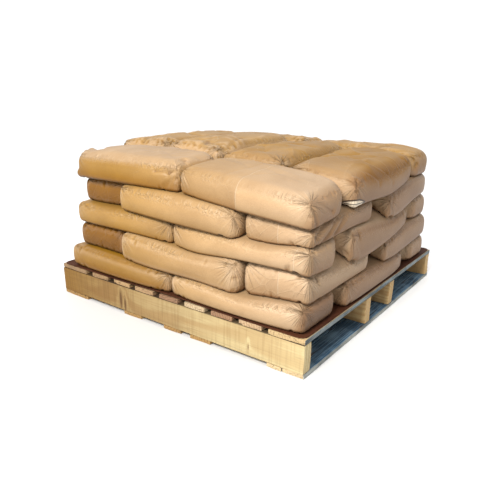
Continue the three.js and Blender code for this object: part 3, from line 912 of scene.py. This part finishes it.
paint = kraft_paper()
make_sacks()


def pine(name, along, pale, dark, seed, rings=150.0, saw=0.0, knots=(), grey=0.0, split=0.0, stained=(), painted_light_gradient=False,
         shaded_top=False):
    """Sawn softwood: growth rings about a pith line outside the board, fibres, saw marks, knots and grey weathering.
    A stained board is blue-grey past a place in X or Y; a board with a painted light gradient is golden at its left end
    and paler at its right, as painted light and shade, and a stringer with a shaded top has painted shade, near black,
    on its top face."""
    paint = Paint(name, 0.72)
    paint.shader.inputs["Specular IOR Level"].default_value = 0.25
    random = np.random.default_rng(seed)
    place = paint.add("TexCoord").outputs["Object"]
    parts = paint.add("SeparateXYZ", Vector=place)
    run = parts.outputs[along]
    side = parts.outputs["Y" if along == "X" else "X"]
    up = parts.outputs["Z"]
    long_stretch = tuple(0.8 if axis == along else 5.0 for axis in "XYZ")
    sway = paint.noise(paint.stretch(place, long_stretch), 1.6, 2.0, 0.45)
    lean = paint.math("MULTIPLY", run, float(random.uniform(-0.06, 0.06)))
    off_side = paint.math("ADD", side, float(random.uniform(0.03, 0.09) * random.choice((-1, 1))))
    off_up = paint.math("ADD", paint.math("ADD", up, lean), float(random.uniform(-0.08, 0.04)))
    far = paint.math("ADD", paint.math("MULTIPLY", off_side, off_side), paint.math("MULTIPLY", off_up, off_up))
    ring = paint.math("ADD", paint.math("SQRT", far), paint.math("MULTIPLY", sway, 0.045))
    knot_dark = 0.0
    for knot_run, knot_up, size in knots:
        dx = paint.math("DIVIDE", paint.math("SUBTRACT", run, knot_run), size * 0.6)
        dz = paint.math("DIVIDE", paint.math("SUBTRACT", up, knot_up), size * 3.0)
        away = paint.math("ADD", paint.math("MULTIPLY", dx, dx), paint.math("MULTIPLY", dz, dz))
        bump = paint.math("DIVIDE", 0.03, paint.math("ADD", away, 0.7))
        ring = paint.math("ADD", ring, bump)
        knot_dark = paint.math("ADD", knot_dark, paint.band(away, 0.1, 2.2, 1.0, 0.0))
    wave = paint.math("SINE", paint.math("MULTIPLY", ring, rings * 6.283))
    late = paint.band(wave, -0.1, 0.95)
    fibre = paint.noise(paint.stretch(place, tuple(3.0 if axis == along else 160.0 for axis in "XYZ")), 2.2, 3.0, 0.6)
    stain = paint.noise(place, 7.0, 3.0, 0.6)
    colour = paint.mix(paint.math("MULTIPLY", late, 0.55), pale, dark)
    colour = paint.mix(paint.band(fibre, 0.40, 0.75, 0.0, 0.45), colour, dark)
    colour = paint.mix(paint.band(stain, 0.50, 0.80, 0.0, 0.35), colour, tuple(0.55 * each for each in dark))
    if grey:
        colour = paint.mix(paint.band(stain, 0.25, 0.6, 0.4 * grey, grey), colour, (0.10, 0.13, 0.17))
    height = paint.math("ADD", paint.math("MULTIPLY", late, -0.3), paint.math("MULTIPLY", fibre, -0.6))
    if saw:
        marks = paint.noise(paint.stretch(place, tuple(130.0 if axis == along else 6.0 for axis in "XYZ")), 1.0, 2.0, 0.6)
        colour = paint.mix(paint.band(marks, 0.46, 0.66, 0.0, 0.40 * saw), colour, tuple(0.72 * each for each in dark))
        height = paint.math("ADD", height, paint.math("MULTIPLY", marks, saw))
    if knots:
        colour = paint.mix(paint.math("MULTIPLY", knot_dark, 0.8, clamp=True), colour, (0.13, 0.055, 0.022))
    # Painted light gradient: golden and darker at the left end, paler at the right, as the light falls brighter there
    if painted_light_gradient:
        across = paint.add("MapRange")
        for n, value in enumerate((parts.outputs["X"], -0.53, 0.53, 0.0, 1.0)):
            paint.plug(across.inputs[n], value)
        tint = paint.mix(paint.math("POWER", across.outputs[0], 1.2), (0.40, 0.29, 0.11), (1.12, 1.31, 1.5))
        colour = paint.mix(1.0, colour, tint, "MULTIPLY")
    # Painted shade: the stringer's top face, seen only down the gaps between the deck boards, is painted near black
    if shaded_top:
        colour = paint.mix(paint.band(up, 0.0995, 0.1015), colour, (0.045, 0.026, 0.014))
    for axis, from_here, to_here, (deep, light) in stained:
        place_in = paint.math("ADD", parts.outputs[axis], paint.math("MULTIPLY", stain, 0.004))
        patch = paint.math("ADD", fibre, paint.math("MULTIPLY", paint.math("SUBTRACT", stain, 0.5), 0.9))
        blue = paint.mix(paint.band(patch, 0.35, 0.65), deep, light)
        colour = paint.mix(paint.band(place_in, from_here, to_here), colour, blue)
    if split:
        crack = paint.noise(paint.stretch(place, tuple(1.5 if axis == along else 55.0 for axis in "XYZ")), 1.0, 1.0, 0.3)
        thin = paint.band(paint.math("ABSOLUTE", paint.math("SUBTRACT", crack, 0.5)), 0.0, 0.012, split, 0.0)
        colour = paint.mix(thin, colour, (0.05, 0.028, 0.015))
        height = paint.math("SUBTRACT", height, paint.math("MULTIPLY", thin, 2.0))
    return paint.finish(colour, height, 0.0012, 0.7)


def worn_board(name, material, seed, cells=(60, 8, 2), worn=1.6 * MM, ragged=2.5 * MM, chips=()):
    """A sawn board inside its CAD box: slightly uneven faces, worn edges, ends that aren't quite square."""
    random = np.random.default_rng(seed)
    low, high = (np.array(corner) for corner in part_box(name))
    half, centre = (high - low) / 2, (high + low) / 2
    order = np.argsort(-half)
    places, quads = box_skin(cells)
    flat = np.empty_like(places)
    flat[:, order] = places
    turned = np.cross(*np.eye(3)[order[:2]])[order[2]] < 0
    quads = quads[:, ::-1] if turned else quads
    inner = half - worn
    at = flat * half
    core = np.clip(at, -inner, inner)
    out = at - core
    reach = np.sqrt((out ** 2).sum(1, keepdims=True)) + 1e-12
    at = np.where(reach > worn, core + out * worn / reach, at)
    long, wide, thin = order
    phase = random.uniform(0, 6.28, 8)
    u, v = at[:, long], at[:, wide]
    wobble = np.sin(u * 9 + phase[0]) * 0.5 + np.sin(u * 23 + v * 15 + phase[1]) * 0.3 + np.sin(u * 61 + phase[2]) * 0.2
    at[:, wide] *= 1 - 0.0007 / half[wide] * (1 + wobble)
    ripple = np.sin(v * 60 + phase[3]) * 0.5 + np.sin(v * 23 + u * 7 + phase[4]) * 0.5
    at[:, thin] *= 1 - 0.0003 / half[thin] * (1 + ripple)
    at_end = np.clip((np.abs(places[:, 0]) - 0.9) / 0.1, 0, 1)
    cut = np.sin(v / half[wide] * random.uniform(1, 3) + phase[5] + 2 * (places[:, 0] > 0)) * 0.5 + 0.5
    at[:, long] -= np.sign(places[:, 0]) * at_end * ragged * (cut + 0.4 * np.abs(np.sin(v * 190 + phase[6])))
    for end, side, reach_long, reach_wide in chips:
        near = (end * at[:, long] > half[long] - reach_long) & (side * at[:, wide] > half[wide] - reach_wide)
        at[near, long] = end * (half[long] - reach_long)
    mesh = bpy.data.meshes.new("worn_" + name)
    mesh.from_pydata((at + centre).tolist(), [], quads.tolist())
    mesh.materials.append(material)
    board = bpy.data.objects.new("timber_" + name, mesh)
    bpy.context.scene.collection.objects.link(board)
    mesh.shade_smooth()
    mesh.set_sharp_from_angle(angle=math.radians(50))
    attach(board, "root")
    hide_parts(name)


def make_timber():
    yellow, orange = (0.52, 0.37, 0.18), (0.36, 0.20, 0.075)
    white, tan = (0.56, 0.43, 0.26), (0.41, 0.26, 0.12)
    grey_stain = ((0.07, 0.09, 0.10), (0.22, 0.255, 0.26))
    blue_stain = ((0.03, 0.072, 0.125), (0.15, 0.25, 0.35))
    pale_stain = ((0.15, 0.165, 0.16), (0.36, 0.37, 0.34))
    # the front stringer has a knot near its left end, and saw marks left of the knot
    knots = {1: ((-0.203, 0.050, 0.010), (-0.182, 0.036, 0.008), (0.348, 0.041, 0.003)), 2: ((0.1, 0.05, 0.008),), 3: (), 4: ((-0.2, 0.06, 0.012),)}
    for n in range(1, 5):
        paint = pine(f"stringer_{n}_pine", "X", yellow, orange, 20 + n, rings=95.0, saw=0.75 if n == 1 else 0.4, knots=knots[n], split=0.15,
                     painted_light_gradient=n == 1, shaded_top=True)
        worn_board(f"stringer_{n}", paint, 40 + n, cells=(110, 12, 5))
    brown, red, cream = (0.34, 0.20, 0.08), (0.33, 0.175, 0.08), (0.52, 0.36, 0.20)
    deck_looks = [
        (brown, (0.17, 0.09, 0.04)), (brown, (0.19, 0.10, 0.04)), (tan, orange), (tan, (0.28, 0.14, 0.06)),
        (red, (0.18, 0.085, 0.035)), (white, orange), (red, (0.19, 0.09, 0.04)), (cream, (0.33, 0.18, 0.09)),
        (yellow, tan),
    ]
    for n, (pale, dark) in enumerate(deck_looks, 1):
        paint = pine(f"deck_{n}_pine", "Y", pale, dark, 60 + n, rings=120.0, saw=0.4,
                     grey=0.15, split=0.8, stained=(("X", 0.5320, 0.5345, grey_stain),) if n == 9 else ())
        chips = ((-1, -1, 7 * MM, 14 * MM),) if n in (3, 8) else ()
        worn_board(f"deck_board_{n}", paint, 80 + n, cells=(110, 14, 3), chips=chips)
    golden, brown = (0.36, 0.22, 0.08), (0.22, 0.11, 0.035)
    for n in range(1, 7):
        pale, dark = (golden, brown) if n < 5 else (white, yellow)
        stain = (("Y", -0.5275, -0.5235, blue_stain), ("X", 0.5315, 0.5335, pale_stain)) if n > 4 else ()
        paint = pine(f"base_{n}_pine", "Y", pale, dark, 120 + n, rings=110.0, saw=0.5, split=0.8, stained=stain)
        worn_board(f"base_board_{n}", paint, 140 + n, cells=(100, 10, 2), worn=1.2 * MM)


def make_slip_sheet():
    """The brown board sheet under the sacks; its free margin curls up a little in places."""
    low, high = (np.array(corner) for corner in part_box("slip_sheet"))
    half, centre = (high - low) / 2, (high + low) / 2
    cells = (64, 64, 1)
    places, quads = box_skin(cells)
    at = places * half
    # round the corners of the sheet
    corner = 24 * MM
    inner = half[:2] - corner
    core = np.clip(at[:, :2], -inner, inner)
    out = at[:, :2] - core
    reach = np.sqrt((out ** 2).sum(1, keepdims=True)) + 1e-12
    at[:, :2] = np.where(reach > corner, core + out * corner / reach, at[:, :2])
    edge = (np.abs(places[:, :2]).max(1) - 0.965) / 0.035
    x, y = at[:, 0], at[:, 1]
    wave = 1.2 + np.sin(x * 11 + 1) * 0.6 + np.sin(y * 9 + 2) * 0.6 + np.sin((x + y) * 27) * 0.3
    front = 4.5 * np.exp(-((x - 0.03) / 0.16) ** 2) * (y < -0.45)
    at[:, 2] += np.clip(edge, 0, 1) ** 1.5 * (np.clip(wave, 0.2, 3) + front) * MM
    mesh = bpy.data.meshes.new("curled_sheet")
    mesh.from_pydata((at + centre).tolist(), [], quads.tolist())
    paint = Paint("slip_sheet_board", 0.7)
    paint.shader.inputs["Specular IOR Level"].default_value = 0.08
    at_node = paint.add("TexCoord").outputs["Object"]
    blotch = paint.noise(at_node, 6.0, 3.0, 0.6)
    fibre = paint.noise(at_node, 180.0, 3.0, 0.6)
    colour = paint.mix(paint.band(blotch, 0.3, 0.7), (0.042, 0.0135, 0.007), (0.075, 0.026, 0.012))
    colour = paint.mix(paint.band(fibre, 0.4, 0.7, 0.0, 0.3), colour, (0.11, 0.045, 0.025))
    mesh.materials.append(paint.finish(colour, fibre, 0.0006, 0.5))
    sheet = bpy.data.objects.new("board_sheet", mesh)
    bpy.context.scene.collection.objects.link(sheet)
    mesh.shade_smooth()
    mesh.set_sharp_from_angle(angle=math.radians(50))
    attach(sheet, "root")
    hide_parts("slip_sheet")


make_timber()
make_slip_sheet()
